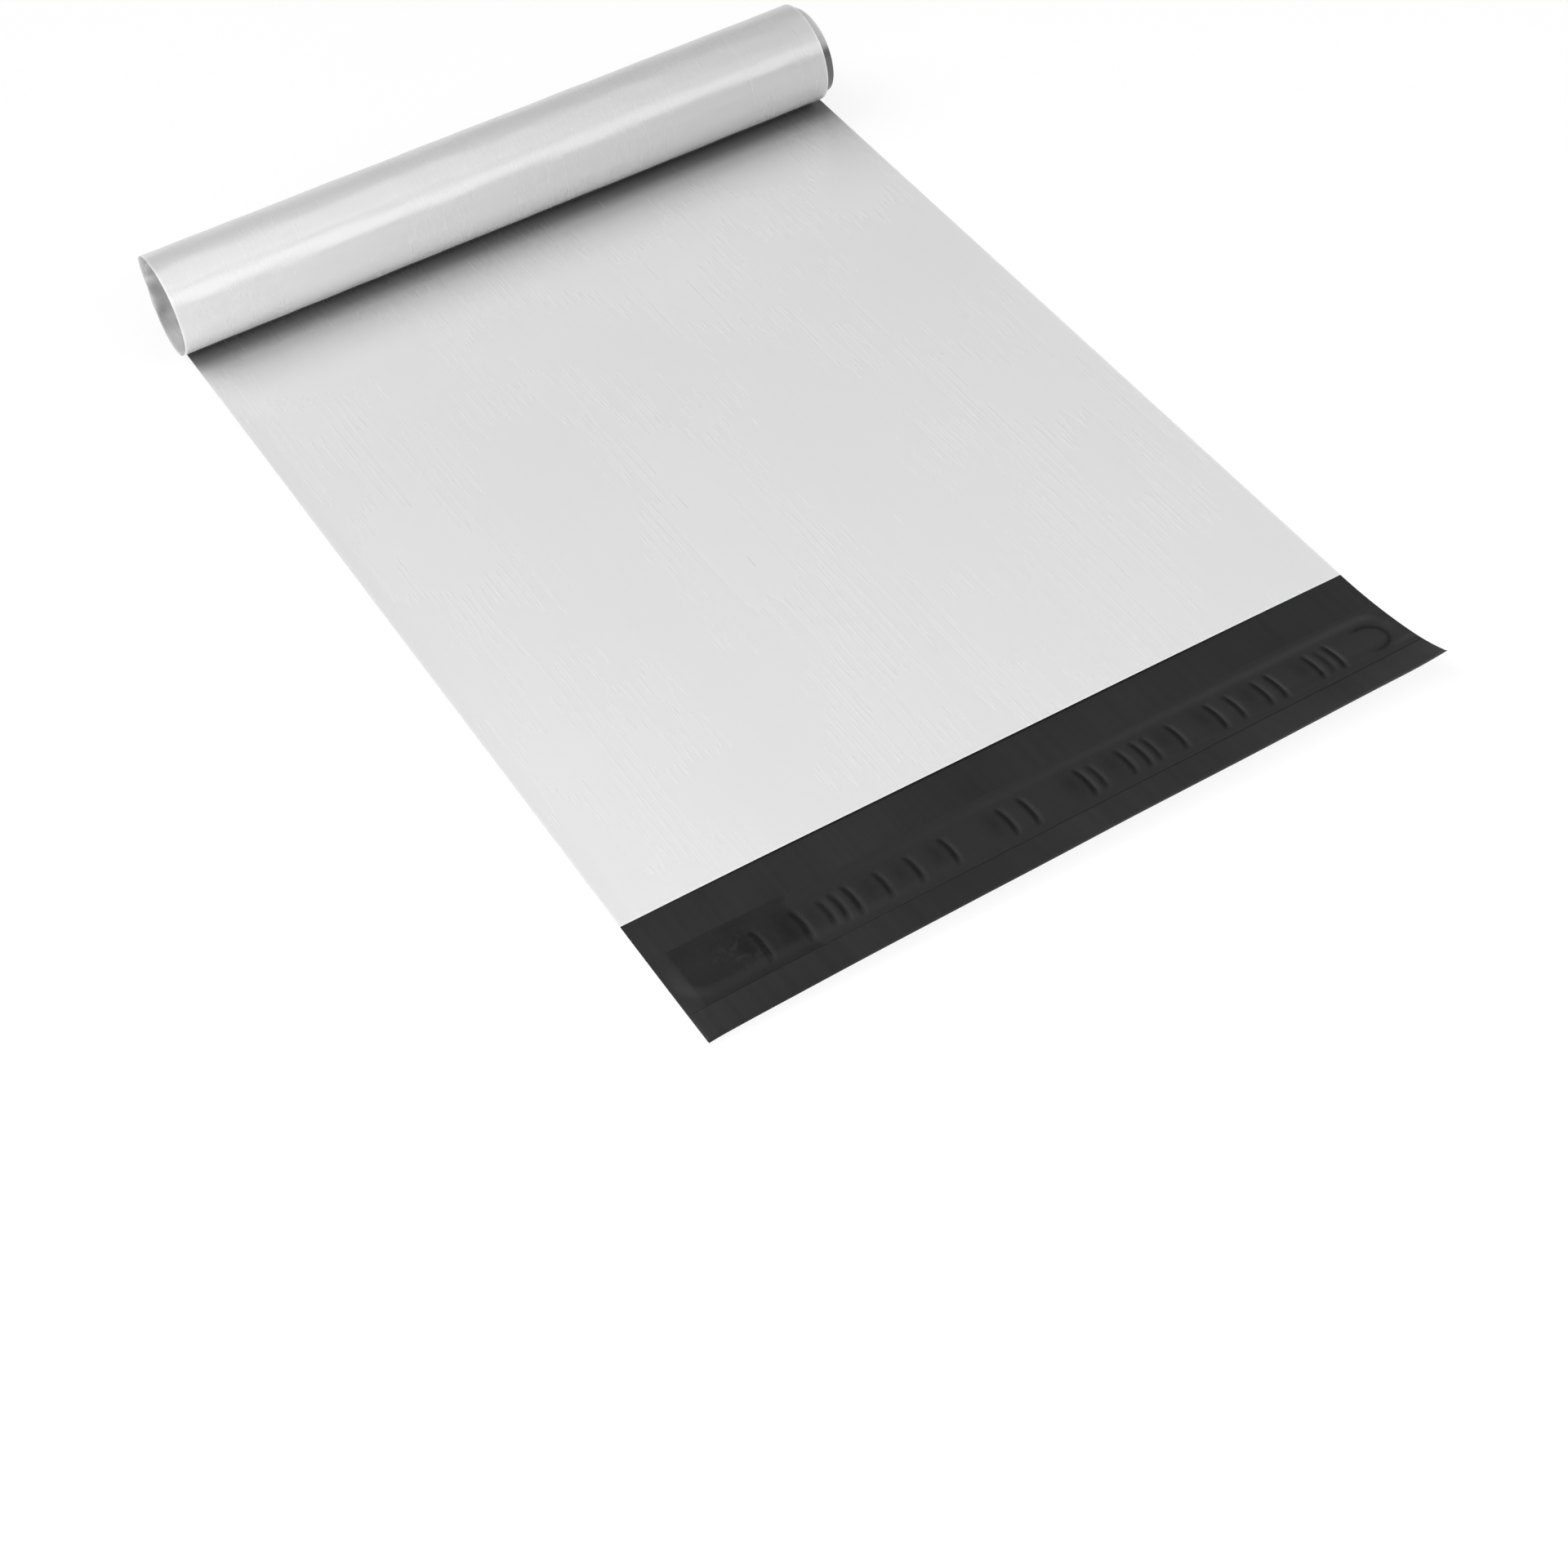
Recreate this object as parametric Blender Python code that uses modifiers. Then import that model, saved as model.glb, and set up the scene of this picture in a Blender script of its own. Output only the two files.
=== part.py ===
"""A mailing bag made from one sheet of plastic film, light grey outside and black inside.

The sheet is folded once at the bottom and welded down both sides. Its back panel runs on past the mouth
as a closing flap, which carries a strip of adhesive under a release liner. The bag lies on its back with
the front panel up, its closed end rolled up and its flap spread out in front of the mouth.

Everything is first made flat. A point of the flat bag is given by three lengths: across, from the left
side edge; along, from the mouth towards the bottom fold; and up, through the thickness. The function
place() then rolls the closed end and lifts the flap.
"""

import math

import bmesh
import bpy
from mathutils import Vector

# The sheet, in metres
BAG_WIDTH = 0.250
PANEL_LENGTH = 0.520
FLAP_DEPTH = 0.050
FILM = 0.00006

# The pocket: its gap at mid-width where the bag lies flat, in the roll and at the side welds
POCKET_GAP = 0.0005
ROLLED_GAP = 0.00015
WELD_GAP = 0.00003
WELD_WIDTH = 0.005
GAP_EASE = 0.040

# The roll at the closed end
FLAT_LENGTH = 0.308
ROLL_RADIUS = 0.0185
TURN_CLEARANCE = 0.0004
WINDING_POWER = 1.6
ROLL_SLIP = 0.0036
TELESCOPE = 0.0022

# The flap, which lifts towards its right corner
FLAP_LIFT_LEFT = 0.0008
FLAP_LIFT_RIGHT = 0.0070
LIFT_GROWTH = 0.6
CORNER_CURL = 0.0025
CORNER_REACH = 0.016

# The adhesive strip and the release liner over it
LAY_GAP = 0.0001
LINER_INSET = 0.0155
LINER_WIDTH = 0.023
LINER_FILM = 0.00005
LINER_MARGIN = 0.0005
LINER_RISE = 0.002
BEAD_WIDTH = 0.010
BEAD_THICKNESS = 0.0002
BEAD_MARGIN = 0.006

# Puckers where the liner has let go of the adhesive, as shares of the bag's width
PUCKERS = (0.120, 0.172, 0.204, 0.220, 0.238, 0.278, 0.319, 0.366, 0.444, 0.473, 0.551, 0.567,
           0.607, 0.628, 0.643, 0.678, 0.734, 0.761, 0.800, 0.820, 0.875, 0.891, 0.905, 0.962)
PUCKER_HEIGHT = 0.0006
PUCKER_WIDTH = 0.0016
PUCKER_SLANT = 0.10

# How finely the curved shapes are divided
STEPS_PER_TURN = 36
PANEL_STEPS = 8
COLUMN_STEPS = 10
FLAP_STEPS = 10
CORNER_STEPS = 4
BEAD_END_SEGMENTS = 4
LINER_PLAIN_STEP = 0.008
NEWTON_STEPS = 12

STACK = 2 * FILM + POCKET_GAP
FIRST_PITCH = STACK + TURN_CLEARANCE
BEAD_CENTRE = LINER_INSET + LINER_WIDTH / 2
BEAD_NEAR = BEAD_CENTRE - BEAD_WIDTH / 2
BEAD_FAR = BEAD_CENTRE + BEAD_WIDTH / 2
TINY = 1e-7

LIGHT_GREY = (0.72, 0.72, 0.73, 1.0)
BLACK = (0.030, 0.030, 0.032, 1.0)
GLUE = (0.055, 0.055, 0.058, 1.0)
LINER = (0.085, 0.085, 0.090, 1.0)


def smooth(share):
    """An S-curve from 0 to 1 as share goes from 0 to 1."""
    share = min(max(share, 0.0), 1.0)
    return share * share * (3.0 - 2.0 * share)


def spiral_radius(turns):
    """Radius of the film's outer face after so many turns, counted from the floor inwards."""
    return ROLL_RADIUS - FIRST_PITCH * turns ** WINDING_POWER


def wound_length(turns):
    """Length of film in so many turns."""
    lost = FIRST_PITCH * turns ** (WINDING_POWER + 1) / (WINDING_POWER + 1)
    return math.tau * (ROLL_RADIUS * turns - lost)


def turns_in(length):
    """Turns that a length of film makes, by Newton's method."""
    turns = length / (math.tau * ROLL_RADIUS)
    for _ in range(NEWTON_STEPS):
        turns -= (wound_length(turns) - length) / (math.tau * spiral_radius(turns))
    return turns


def flap_lift(across):
    """Height of the flap's free edge over the floor."""
    share = min(max(across / BAG_WIDTH, 0.0), 1.0)
    return FLAP_LIFT_LEFT + (FLAP_LIFT_RIGHT - FLAP_LIFT_LEFT) * share ** LIFT_GROWTH


def place_on_flap(across, out, up):
    """The flap is bent upwards as an arc from the mouth, and its right corner curls a little more."""
    radius = FLAP_DEPTH ** 2 / (2 * flap_lift(across))
    angle = out / radius
    from_corner = math.hypot(BAG_WIDTH - across, FLAP_DEPTH - out)
    curl = CORNER_CURL * max(0.0, 1.0 - from_corner / CORNER_REACH) ** 2
    return Vector((across, -(radius - up) * math.sin(angle), radius - (radius - up) * math.cos(angle) + curl))


def place_on_roll(across, wound, up):
    """The roll is a spiral whose turns slip sideways, so they show one inside the other at its ends."""
    turns = turns_in(wound)
    angle = math.tau * turns
    radius = spiral_radius(turns) - up
    slip = TELESCOPE * max(0.0, turns - 0.5) - ROLL_SLIP * smooth(2 * turns)
    return Vector((across + slip, FLAT_LENGTH + radius * math.sin(angle), ROLL_RADIUS - radius * math.cos(angle)))


def place(across, along, up):
    """A point of the flat bag, where it lies on the finished one."""
    if along < 0:
        return place_on_flap(across, -along, up)
    if along > FLAT_LENGTH:
        return place_on_roll(across, along - FLAT_LENGTH, up)
    return Vector((across, along, up))


def pocket_gap(across, along):
    """Gap between the two panels: widest at mid-width, nothing but the weld at the sides, small in the roll."""
    from_middle = (across - BAG_WIDTH / 2) / (BAG_WIDTH / 2 - WELD_WIDTH)
    swell = max(0.0, 1.0 - from_middle ** 4)
    lying = WELD_GAP + (POCKET_GAP - WELD_GAP) * swell
    return lying + (ROLLED_GAP - lying) * smooth(1.0 - (FLAT_LENGTH - along) / GAP_EASE)


def new_collection(name):
    collection = bpy.data.collections.new(name)
    bpy.context.scene.collection.children.link(collection)
    return collection


def plastic(name, colour, roughness):
    """A plain plastic material."""
    material = bpy.data.materials.new(name)
    material.use_nodes = True
    shader = material.node_tree.nodes["Principled BSDF"]
    shader.inputs["Base Color"].default_value = colour
    shader.inputs["Roughness"].default_value = roughness
    shader.inputs["Metallic"].default_value = 0.0
    return material


def move_to(obj, collection):
    for old in list(obj.users_collection):
        old.objects.unlink(obj)
    collection.objects.link(obj)


def box(name, low, high, collection):
    """A cube primitive stretched between two corners, with nothing left in its scale."""
    bpy.ops.mesh.primitive_cube_add(size=1)
    obj = bpy.context.object
    obj.name = name
    for vertex in obj.data.vertices:
        vertex.co = [a + (c + 0.5) * (b - a) for a, b, c in zip(low, high, vertex.co)]
    move_to(obj, collection)
    return obj


def cut_with(obj, cutter):
    """Take a cutter's shape out of an object."""
    cutter.hide_render = True
    cutter.display_type = "WIRE"
    cut = obj.modifiers.new(cutter.name, "BOOLEAN")
    cut.operation = "DIFFERENCE"
    cut.solver = "EXACT"
    cut.object = cutter


def divide(bm, axis, positions, chosen=None):
    """Cut the faces of a mesh at planes across one axis, without parting it."""
    normal = Vector([1.0 if i == axis else 0.0 for i in range(3)])
    for position in positions:
        faces = [face for face in bm.faces if chosen is None or chosen(face)]
        edges = list({edge for face in faces for edge in face.edges})
        vertices = list({vertex for face in faces for vertex in face.verts})
        bmesh.ops.bisect_plane(bm, geom=faces + edges + vertices, dist=TINY, plane_co=normal * position,
                               plane_no=normal)


def spread(start, end, steps):
    """Evenly spaced places between two ends, without the ends."""
    return [start + (end - start) * i / steps for i in range(1, steps)]


def flat_bag(cutters):
    """The flat bag: a slab of the whole stack, less the space over the flap and less the pocket.

    At the bottom the pocket ends one film short of the slab, which leaves the sheet's fold.
    """
    slab = box("flat_bag", (0, -FLAP_DEPTH, 0), (BAG_WIDTH, PANEL_LENGTH, STACK), cutters)
    over = WELD_WIDTH
    over_flap = box("over_flap", (-over, -FLAP_DEPTH - over, FILM), (BAG_WIDTH + over, 0, STACK + over), cutters)
    pocket = box("pocket", (WELD_WIDTH, -over, FILM),
                 (BAG_WIDTH - WELD_WIDTH, PANEL_LENGTH - FILM, FILM + POCKET_GAP), cutters)
    cut_with(slab, over_flap)
    cut_with(slab, pocket)
    bpy.context.view_layer.update()
    evaluated = slab.evaluated_get(bpy.context.evaluated_depsgraph_get())
    mesh = bpy.data.meshes.new_from_object(evaluated)
    for guide in (slab, over_flap, pocket):
        bpy.data.objects.remove(guide)
    return mesh


def divide_bag(bm):
    """Lines across the bag for the flap's bend and the roll, and lines along it for what changes sideways."""
    turns = turns_in(PANEL_LENGTH - FLAT_LENGTH)
    steps = round(turns * STEPS_PER_TURN)
    rolled = [FLAT_LENGTH + wound_length(turns * i / steps) for i in range(steps)]
    lying = spread(0, FLAT_LENGTH - GAP_EASE, PANEL_STEPS) + spread(FLAT_LENGTH - GAP_EASE, FLAT_LENGTH, PANEL_STEPS)
    divide(bm, 1, [-out for out in spread(0, FLAP_DEPTH, FLAP_STEPS)] + [0, FLAT_LENGTH - GAP_EASE] + lying + rolled)
    columns = [WELD_WIDTH, BAG_WIDTH - WELD_WIDTH]
    columns += spread(WELD_WIDTH, BAG_WIDTH - WELD_WIDTH, COLUMN_STEPS)
    divide(bm, 0, columns, lambda face: max(v.co.y for v in face.verts) < FLAT_LENGTH + TINY)
    corner = spread(BAG_WIDTH, BAG_WIDTH - CORNER_REACH, CORNER_STEPS)
    divide(bm, 0, corner, lambda face: max(v.co.y for v in face.verts) < TINY)


def bag_film(collection, cutters, outside, inside):
    """The bag's one sheet, grey on its outer faces and black on its inner ones."""
    mesh = flat_bag(cutters)
    mesh.materials.clear()
    mesh.materials.append(outside)
    mesh.materials.append(inside)
    bm = bmesh.new()
    bm.from_mesh(mesh)
    divide_bag(bm)
    middle = FILM + POCKET_GAP / 2
    for face in bm.faces:
        inner = all(abs(abs(v.co.z - middle) - POCKET_GAP / 2) < TINY for v in face.verts)
        face.material_index = 1 if inner else 0
        face.smooth = True
    for vertex in bm.verts:
        across, along, up = vertex.co
        if up > middle:
            up += pocket_gap(across, along) - POCKET_GAP
        vertex.co = place(across, along, up)
    bm.to_mesh(mesh)
    bm.free()
    mesh.name = "mailer_film"
    mesh.set_sharp_from_angle(angle=math.radians(40))
    film = bpy.data.objects.new("mailer_film", mesh)
    collection.objects.link(film)
    return film


def adhesive_strip(collection, material):
    """A flat bead of adhesive with round ends, low at its two edges, on the flap's inner face."""
    strip = box("adhesive_strip", (BEAD_MARGIN, -BEAD_FAR, 0), (BAG_WIDTH - BEAD_MARGIN, -BEAD_NEAR, BEAD_THICKNESS),
                collection)
    bm = bmesh.new()
    bm.from_mesh(strip.data)
    uprights = [edge for edge in bm.edges if abs(edge.verts[0].co.z - edge.verts[1].co.z) > TINY]
    bmesh.ops.bevel(bm, geom=uprights, offset=BEAD_WIDTH * 0.49, offset_type="OFFSET", affect="EDGES",
                    segments=BEAD_END_SEGMENTS, profile=0.5)
    divide(bm, 0, spread(BEAD_MARGIN + BEAD_WIDTH / 2, BAG_WIDTH - BEAD_MARGIN - BEAD_WIDTH / 2, 2 * COLUMN_STEPS))
    divide(bm, 1, [-BEAD_CENTRE, -BEAD_CENTRE - BEAD_WIDTH / 3, -BEAD_CENTRE + BEAD_WIDTH / 3])
    for vertex in bm.verts:
        across, along, up = vertex.co
        edge = abs(along + BEAD_CENTRE) / (BEAD_WIDTH / 2)
        up *= 1.0 - 0.5 * edge ** 4
        vertex.co = place(across, along, FILM + LAY_GAP + up)
    bm.to_mesh(strip.data)
    bm.free()
    strip.data.materials.append(material)
    return strip


def liner_height(across, out):
    """The liner lies on the flap at its edges, rises over the bead and stands up in puckers there."""
    from_bead = max(0.0, abs(out - BEAD_CENTRE) - BEAD_WIDTH / 2)
    over_bead = 1.0 - smooth(from_bead / LINER_RISE)
    height = FILM + LAY_GAP + (BEAD_THICKNESS + LAY_GAP) * over_bead
    shape = max(0.0, 1.0 - (abs(out - BEAD_CENTRE) / (BEAD_WIDTH / 2 + LINER_RISE)) ** 2)
    nearest = min(abs(across - share * BAG_WIDTH) for share in PUCKERS)
    return height + PUCKER_HEIGHT * shape * (1.0 - smooth(nearest / PUCKER_WIDTH))


def liner_columns():
    """Places across the liner: close together at the puckers and wide apart between them."""
    left, right = LINER_MARGIN, BAG_WIDTH - LINER_MARGIN
    places = {left, right}
    for share in PUCKERS:
        for side in (-1.0, -0.4, 0.0, 0.4, 1.0):
            places.add(share * BAG_WIDTH + side * PUCKER_WIDTH)
    steps = round((right - left) / LINER_PLAIN_STEP)
    places.update(spread(left, right, steps))
    columns = [left]
    for spot in sorted(places):
        if columns[-1] + PUCKER_WIDTH * 0.3 < spot < right - PUCKER_WIDTH * 0.3:
            columns.append(spot)
    return columns + [right]


def release_liner(collection, material):
    """The liner is a band of thin film, a grid laid over the bead and thickened."""
    columns = liner_columns()
    near, far = LINER_INSET, LINER_INSET + LINER_WIDTH
    rows = [near, BEAD_NEAR - LINER_RISE, BEAD_NEAR - LINER_RISE / 2, BEAD_NEAR, BEAD_CENTRE,
            BEAD_FAR, BEAD_FAR + LINER_RISE / 2, BEAD_FAR + LINER_RISE, far]
    bm = bmesh.new()
    bmesh.ops.create_grid(bm, x_segments=len(columns) - 1, y_segments=len(rows) - 1, size=0.5)
    for vertex in bm.verts:
        across = columns[round((vertex.co.x + 0.5) * (len(columns) - 1))]
        out = rows[round((0.5 - vertex.co.y) * (len(rows) - 1))]
        ends = min(across - columns[0], columns[-1] - across) / LINER_PLAIN_STEP
        slant = PUCKER_SLANT * (out - BEAD_CENTRE) * smooth(ends)
        vertex.co = place(across + slant, -out, liner_height(across, out))
    for face in bm.faces:
        face.smooth = True
    mesh = bpy.data.meshes.new("release_liner")
    bm.to_mesh(mesh)
    bm.free()
    mesh.materials.append(material)
    liner = bpy.data.objects.new("release_liner", mesh)
    collection.objects.link(liner)
    shell = liner.modifiers.new("film", "SOLIDIFY")
    shell.thickness = LINER_FILM
    shell.offset = 1.0
    return liner


def stand_on_origin(pieces):
    """Put the middle of the bag's footprint over the origin."""
    bpy.context.view_layer.update()
    graph = bpy.context.evaluated_depsgraph_get()
    corners = [Vector(corner) for piece in pieces for corner in piece.evaluated_get(graph).bound_box]
    low = [min(corner[i] for corner in corners) for i in range(3)]
    high = [max(corner[i] for corner in corners) for i in range(3)]
    for piece in pieces:
        piece.location = (-(low[0] + high[0]) / 2, -(low[1] + high[1]) / 2, -low[2])


def main():
    for obj in list(bpy.data.objects):
        bpy.data.objects.remove(obj)
    mailer = new_collection("mailing_bag")
    cutters = new_collection("cutters")
    outside = plastic("film_outside", LIGHT_GREY, 0.38)
    inside = plastic("film_inside", BLACK, 0.45)
    pieces = [
        bag_film(mailer, cutters, outside, inside),
        adhesive_strip(mailer, plastic("adhesive", GLUE, 0.35)),
        release_liner(mailer, plastic("liner", LINER, 0.25)),
    ]
    stand_on_origin(pieces)


main()
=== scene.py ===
"""The finish of a plastic mailing bag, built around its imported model.

The bag is one sheet of film, light grey outside and black inside. It lies on its back with its closed end
rolled up and its closing flap spread out in front of the mouth. The flap carries a strip of adhesive under
a thin release liner.

Every piece is first made flat. A point of the flat bag is given by three lengths: across, from the left
side edge; along, from the mouth towards the bottom fold; and up, through the thickness. On the flap, out is
the way from the mouth to the free edge. The function place() then rolls the closed end and lifts the flap.
It does so as in the model's own source, but the innermost turn lies a little further to the right, and the
flap's corner curls up less.
"""

import math

import bpy
from mathutils import Matrix, Vector, noise


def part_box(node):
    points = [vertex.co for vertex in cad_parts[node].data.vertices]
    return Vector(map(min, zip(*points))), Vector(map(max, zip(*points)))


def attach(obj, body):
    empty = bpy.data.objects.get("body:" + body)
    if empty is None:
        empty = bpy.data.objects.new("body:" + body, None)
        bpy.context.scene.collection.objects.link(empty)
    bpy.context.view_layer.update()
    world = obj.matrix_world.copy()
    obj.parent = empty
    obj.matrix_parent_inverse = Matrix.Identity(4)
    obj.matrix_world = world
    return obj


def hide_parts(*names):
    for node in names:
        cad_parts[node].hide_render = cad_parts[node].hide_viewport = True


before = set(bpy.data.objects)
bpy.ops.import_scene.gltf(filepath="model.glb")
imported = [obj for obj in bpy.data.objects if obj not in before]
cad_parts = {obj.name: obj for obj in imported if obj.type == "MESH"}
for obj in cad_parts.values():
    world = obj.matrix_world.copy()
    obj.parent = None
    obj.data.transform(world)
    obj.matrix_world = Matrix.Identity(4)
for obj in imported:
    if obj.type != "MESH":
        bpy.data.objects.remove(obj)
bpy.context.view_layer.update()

# The sheet, in metres like all lengths here
BAG_WIDTH = 0.250
PANEL_LENGTH = 0.520
FLAP_DEPTH = 0.050
FILM = 0.00006

# The pocket's gap at mid-width, in the roll and at the side welds
POCKET_GAP = 0.0005
ROLLED_GAP = 0.00015
WELD_GAP = 0.00003
WELD_WIDTH = 0.005
GAP_EASE = 0.040
SWELL_POWER = 4

# The roll at the closed end
FLAT_LENGTH = 0.308
ROLL_RADIUS = 0.0185
TURN_CLEARANCE = 0.0004
WINDING_POWER = 1.6
ROLL_SLIP = 0.0036
TELESCOPE = 0.0022
SLIP_TURNS = 0.5

# The innermost turn has slipped out at the roll's right end
INNER_SLIP = 0.0011
INNER_TURNS = 1.4
INNER_EASE = 0.25

# The flap, which lifts towards its right corner
FLAP_LIFT_LEFT = 0.0008
FLAP_LIFT_RIGHT = 0.0070
LIFT_GROWTH = 0.6
CORNER_CURL = 0.0010
CORNER_REACH = 0.016

# The adhesive strip and the release liner over it
LAY_GAP = 0.0001
LINER_INSET = 0.0155
LINER_WIDTH = 0.023
LINER_FILM = 0.00005
LINER_MARGIN = 0.0005
LINER_RISE = 0.0055
BEAD_WIDTH = 0.010
BEAD_THICKNESS = 0.0002
BEAD_MARGIN = 0.006

# The adhesive's surface: how far it falls off at its sides, its waves, and how slim its round ends get
BEAD_FALL = 0.5
BEAD_SHELL = 0.8
BEAD_SWING = 0.10
BEAD_GRAIN = (0.006, 0.003, 2.0)
BEAD_END_SHARE = 0.02

# Puckers where the liner has let go of the adhesive: their place as a share of the width, and their size
PUCKERS = ((0.120, 1.0), (0.172, 0.9), (0.204, 0.7), (0.220, 0.8), (0.238, 1.0), (0.278, 0.8), (0.319, 0.8),
           (0.366, 0.9), (0.444, 0.9), (0.473, 1.0), (0.551, 1.0), (0.567, 0.7), (0.607, 0.8), (0.628, 0.9),
           (0.643, 0.7), (0.678, 0.9), (0.734, 1.0), (0.761, 0.9), (0.800, 0.9), (0.820, 1.0), (0.875, 0.9),
           (0.891, 0.6), (0.905, 1.0))
PUCKER_HEIGHT = 0.00024
PUCKER_STEEP = 0.0006
PUCKER_GENTLE = 0.0040
PUCKER_LENGTH = 0.0070
PUCKER_GROWTH = 0.3
PUCKER_BOW = 0.0009
PUCKER_BOW_SHIFT = 0.4
PUCKER_SLANT = -0.0002
PUCKER_OUT = 0.0290
PUCKER_SHIFT = 0.0008
PUCKER_FAR = 0.012
PUCKER_ENDS = 2.0

# Each pucker has a flank of painted shade and one of painted highlight: how far from its crest, how wide and
# how strong
PAINTED_SHADE_FLANK = (-0.0006, 0.0008, 1.3)
PAINTED_HIGHLIGHT_FLANK = (0.0009, 0.0007, 0.9)

# A pucker that stands alone also has a soft patch of painted shade on its left
LONE_SHARE = 0.030
SIDE_SHADE_REACH = 0.0042
SIDE_SHADE_WIDTH = 0.6
SIDE_SHADE_RISE = 0.2
SIDE_SHADE_LENGTH = 0.8
SIDE_SHADE_STRENGTH = 0.45

# How the liner lies: over the film beside the adhesive, and in two soft ridges that fade out to the left
LINER_REST = 0.00003
RIDGE_HEIGHT = 0.00018
RIDGE_WIDTH = 0.0030
RIDGE_OUTSIDE = 0.0010
FAR_RIDGE_HEIGHT = 0.00014
FAR_RIDGE_WIDTH = 0.0016
FAR_RIDGE_INSET = 0.0022
RIDGE_START = 0.06
RIDGE_EASE = 0.09

# The liner's small creases at the left, and its faint waves all along
CREASE_PLACE = 0.024
CREASE_REACH = 0.016
CREASE_HEIGHT = 0.00006
CREASE_GRAIN = (0.0022, 0.0030, 4.4)
LINER_WAVE_HEIGHT = 0.00003
LINER_WAVE_GRAIN = (0.014, 0.006, 6.1)

# The liner's two edges wander a little: the length, seed and height of their waves
EDGE_WAVES = ((0.045, 0.0, 0.0005), (0.009, 3.0, 0.00015))
NEAR_EDGE_SEED = 11.0
FAR_EDGE_SEED = 21.0

# At the left the liner is pressed onto the adhesive in a dark patch, with pale specks in it
PATCH_START = 0.005
PATCH_END = 0.043
PATCH_EASE = 0.0015
PATCH_SHADE = 0.42
PATCH_SWING = 0.16
PATCH_GRAIN = (0.009, 0.007, 9.0)
RAGGED_DEPTH = 0.003
RAGGED_GRAIN = (0.006, 1.0, 7.0)
SPECK_GRAIN = (0.0013, 0.0018, 4.4)
SPECK_LEVEL = 0.12
SPECK_EASE = 0.3
SPECK_REACH = 0.014
SPECK_DEPTH = 0.008
SPECK_PALE = 0.6

# Painted shade: the dark line round the adhesive's right end
END_LINE_SHADE = 0.9
END_LINE_SHIFT = 0.0010
END_LINE_OUTSIDE = 0.0008
END_LINE_WIDTH = 0.0007
END_LINE_START = 0.234
END_LINE_EASE = 0.004

# The flap's free edge curls up a little
LIP_HEIGHT = 0.00050
LIP_DEPTH = 0.0015
LIP_SWING = 0.4
LIP_GRAIN = (0.040, 1.0, 15.0)

# The film's relief on the panel and on the roll: the grain of each kind of wave, and its height
PANEL_WAVES = (((0.085, 0.120, 3.1), 0.00010), ((0.030, 0.050, 8.7), 0.00003))
ROLL_WAVES = (((0.210, 0.0085, 1.7), 0.00008), ((0.060, 0.0050, 5.2), 0.00003),
              ((0.012, 0.0042, 12.3), 0.00015))
ROLL_EASE = 0.010

# Painted shade: how much darker the wound film is made, and how much more in the nip under the roll, where it
# is a painted shadow
WOUND_SHADE = 0.15
WOUND_SHADE_RIGHT = 0.27
WOUND_EASE = 0.012
NIP_SHADE = 0.76
NIP_LINE = 0.0065
NIP_LINE_EASE = 0.003
NIP_LINE_SHADE = 0.5
NIP_CORE = 0.009
NIP_WOUND = 0.013
NIP_REACH = 0.021
NIP_TAIL = 0.20
NIP_END = 0.070

# At the roll's right end the innermost turn is darkened: painted shade of the gap inside the roll's end, over
# the black layer that shows at its cut edge
CUT_SHADE = 0.97
CUT_DEPTH = 0.0075
CUT_STEEPNESS = 2.0
CUT_TURN = 1.58
CUT_EASE = 0.010

# At its left end the innermost turn is crumpled, with painted shade in its dents
CRUMPLE_HEIGHT = 0.0009
CRUMPLE_REACH = 0.016
CRUMPLE_SHADE = 0.26
CRUMPLE_TURN = 1.0
CRUMPLE_EASE = 0.012
CRUMPLE_SWING = 1.6
CRUMPLE_GRAIN = (0.007, 0.0045, 31.0)

# Painted highlight: the film is made paler in a narrow rim along its sides, more so on the roll, and along
# the mouth
ROLL_RIM_HIGHLIGHT = 1.6
FLAT_RIM_HIGHLIGHT = 0.5
RIM_WIDTH = 0.0007
MOUTH_WIDTH = 0.0005

# How finely the pieces are divided
EDGE_COLUMNS = (0, 0.0004, 0.001, 0.002, 0.0035, 0.005, 0.0056, 0.007, 0.010)
COLUMN_STEP = 0.0042
FLAP_ROW = 0.001
PANEL_ROW = 0.006
MOUTH_ROWS = (0, 0.0003, 0.0007, 0.0015, 0.003)
LIP_ROWS = (0, 0.0003, 0.0007, 0.0013)
STEPS_PER_TURN = 90
FOLD_STEPS = 6
LINER_COLUMNS = 900
LINER_ROWS = 46
BEAD_COLUMNS = 200
BEAD_ROWS = 10
NEWTON_STEPS = 12
SHARP_ANGLE = 40

STACK = 2 * FILM + POCKET_GAP
FIRST_PITCH = STACK + TURN_CLEARANCE
BEAD_CENTRE = LINER_INSET + LINER_WIDTH / 2

# Noise in the materials: its cells to the metre across, along and up, and the span of most of its values
CLOUDS = (22.0, 16.0, 1.0)
FILM_GRAIN = (900.0, 900.0, 1.0)
SHEET_LINES = (420.0, 9.0, 1.0)
LINER_GRAIN = (700.0, 500.0, 1.0)
ADHESIVE_WAVES = (260.0, 500.0, 1.0)
COARSE_DETAIL = 2.0
FINE_DETAIL = 3.0
NOISE_SPAN = (0.3, 0.7)

# The film: what clouds and lines share in its unevenness, and what that does to its gloss and its surface
CLOUD_SHARE = 0.6
LINE_SHARE = 0.4
# How much the painted highlight along the film's sides and mouth adds
RIM_HIGHLIGHT = 0.22
ROUGHNESS_SWING = 0.03
LINE_RELIEF = 0.2

# Bumps of the materials: their strength and their height
FILM_BUMP = (0.12, 0.00002)
LINER_BUMP = (0.2, 0.00003)
ADHESIVE_BUMP = (0.3, 0.00005)

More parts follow.
